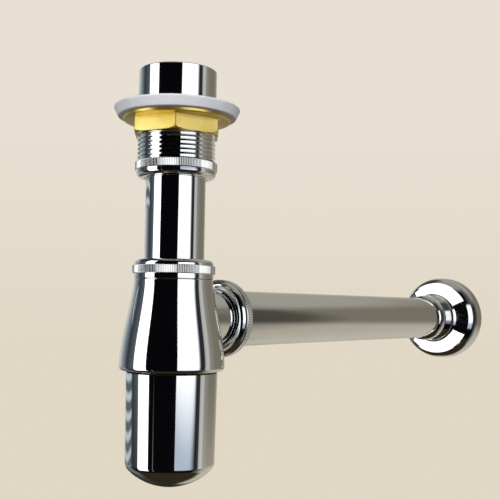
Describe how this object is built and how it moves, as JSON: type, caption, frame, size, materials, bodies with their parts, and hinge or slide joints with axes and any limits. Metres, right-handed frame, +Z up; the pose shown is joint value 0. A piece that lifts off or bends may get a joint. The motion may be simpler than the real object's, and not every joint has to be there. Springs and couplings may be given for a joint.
{
  "type": "bottle trap",
  "caption": "Chrome bottle trap for a basin: threaded waste tail with gasket and back nut, adjustable inlet tube, bell with screw-off cup, level outlet tube with sliding wall cover.",
  "frame": {"origin": "on the axis of the basin waste, in the plane of the gasket's top face, where it meets the underside of the basin", "axes": "+Z up along the waste, +Y along the outlet tube towards the wall, +X to the right of it"},
  "size_m": [0.068, 0.424, 0.2203],
  "materials": {
    "chrome": "polished",
    "chrome_threaded": "polished",
    "chrome_knurled": "polished",
    "raw_brass": "satin",
    "grey_rubber": "matte",
    "black_rubber": "matte",
    "white_nylon": "satin"
  },
  "bodies": {
    "tail": {"waste_tail": "chrome_threaded"},
    "gasket": {"basin_gasket": "grey_rubber"},
    "back_nut": {"back_nut": "raw_brass"},
    "inlet": {"inlet_tube": "chrome", "inlet_washer": "black_rubber"},
    "inlet_slip": {"inlet_slip_ring": "white_nylon"},
    "inlet_nut": {"inlet_nut": "chrome_knurled"},
    "bottle": {"bottle_bell": "chrome", "neck_ring": "raw_brass", "base_ring": "raw_brass", "outlet_stub": "chrome", "collar_seal": "black_rubber"},
    "collar_slip": {"collar_slip_ring": "white_nylon"},
    "collar_nut": {"collar_nut": "chrome_knurled"},
    "cup_seal": {"cup_oring": "black_rubber"},
    "cup": {"cup": "chrome"},
    "outlet_slip": {"outlet_slip_ring": "white_nylon"},
    "outlet_nut": {"outlet_nut": "chrome_knurled"},
    "wall_tube": {"wall_tube": "chrome", "tube_thread_collar": "raw_brass", "outlet_washer": "black_rubber"},
    "wall_cover": {"wall_flange": "chrome", "flange_grip_ring": "black_rubber"}
  },
  "joints": [
    {"name": "back_nut_travel", "type": "slide", "parent": "tail", "child": "gasket", "axis": [0, 0, -1], "range_m": [0, 0.01154]},
    {"name": "back_nut_turn", "type": "hinge", "parent": "gasket", "child": "back_nut", "pos_m": [0, 0, -0.01], "axis": [0, 0, -1], "range_deg": [0, 1800]},
    {"name": "inlet_nut_travel", "type": "slide", "parent": "tail", "child": "inlet_slip", "axis": [0, 0, -1], "range_m": [0, 0.00693]},
    {"name": "inlet_nut_turn", "type": "hinge", "parent": "inlet_slip", "child": "inlet_nut", "pos_m": [0, 0, -0.034], "axis": [0, 0, -1], "range_deg": [0, 1080]},
    {"name": "trap_swivel", "type": "hinge", "parent": "tail", "child": "inlet", "pos_m": [0, 0, -0.035], "axis": [0, 0, 1], "range_deg": [-180, 180]},
    {"name": "bottle_height", "type": "slide", "parent": "inlet", "child": "bottle", "axis": [0, 0, 1], "range_m": [-0.03, 0.012]},
    {"name": "collar_nut_travel", "type": "slide", "parent": "bottle", "child": "collar_slip", "axis": [0, 0, 1], "range_m": [0, 0.006]},
    {"name": "collar_nut_turn", "type": "hinge", "parent": "collar_slip", "child": "collar_nut", "pos_m": [0, 0, -0.087], "axis": [0, 0, 1], "range_deg": [0, 1440]},
    {"name": "cup_travel", "type": "slide", "parent": "bottle", "child": "cup_seal", "axis": [0, 0, -1], "range_m": [0, 0.0105]},
    {"name": "cup_turn", "type": "hinge", "parent": "cup_seal", "child": "cup", "pos_m": [0, 0, -0.165], "axis": [0, 0, -1], "range_deg": [0, 2520]},
    {"name": "outlet_nut_travel", "type": "slide", "parent": "bottle", "child": "outlet_slip", "axis": [0, -1, 0], "range_m": [0, 0.00462]},
    {"name": "outlet_nut_turn", "type": "hinge", "parent": "outlet_slip", "child": "outlet_nut", "pos_m": [0, 0.038, -0.113], "axis": [0, -1, 0], "range_deg": [0, 720]},
    {"name": "wall_tube_turn", "type": "hinge", "parent": "bottle", "child": "wall_tube", "pos_m": [0, 0.2, -0.113], "axis": [0, 1, 0], "range_deg": [-180, 180]},
    {"name": "wall_cover_slide", "type": "slide", "parent": "wall_tube", "child": "wall_cover", "axis": [0, 1, 0], "range_m": [-0.24, 0.035]}
  ],
  "couplings": [
    {"joint": "back_nut_turn", "follows": "back_nut_travel", "rad_per_m": 2721.2},
    {"joint": "inlet_nut_turn", "follows": "inlet_nut_travel", "rad_per_m": 2721.2},
    {"joint": "collar_nut_turn", "follows": "collar_nut_travel", "rad_per_m": 4188.8},
    {"joint": "cup_turn", "follows": "cup_travel", "rad_per_m": 4188.8},
    {"joint": "outlet_nut_turn", "follows": "outlet_nut_travel", "rad_per_m": 2721.2}
  ]
}
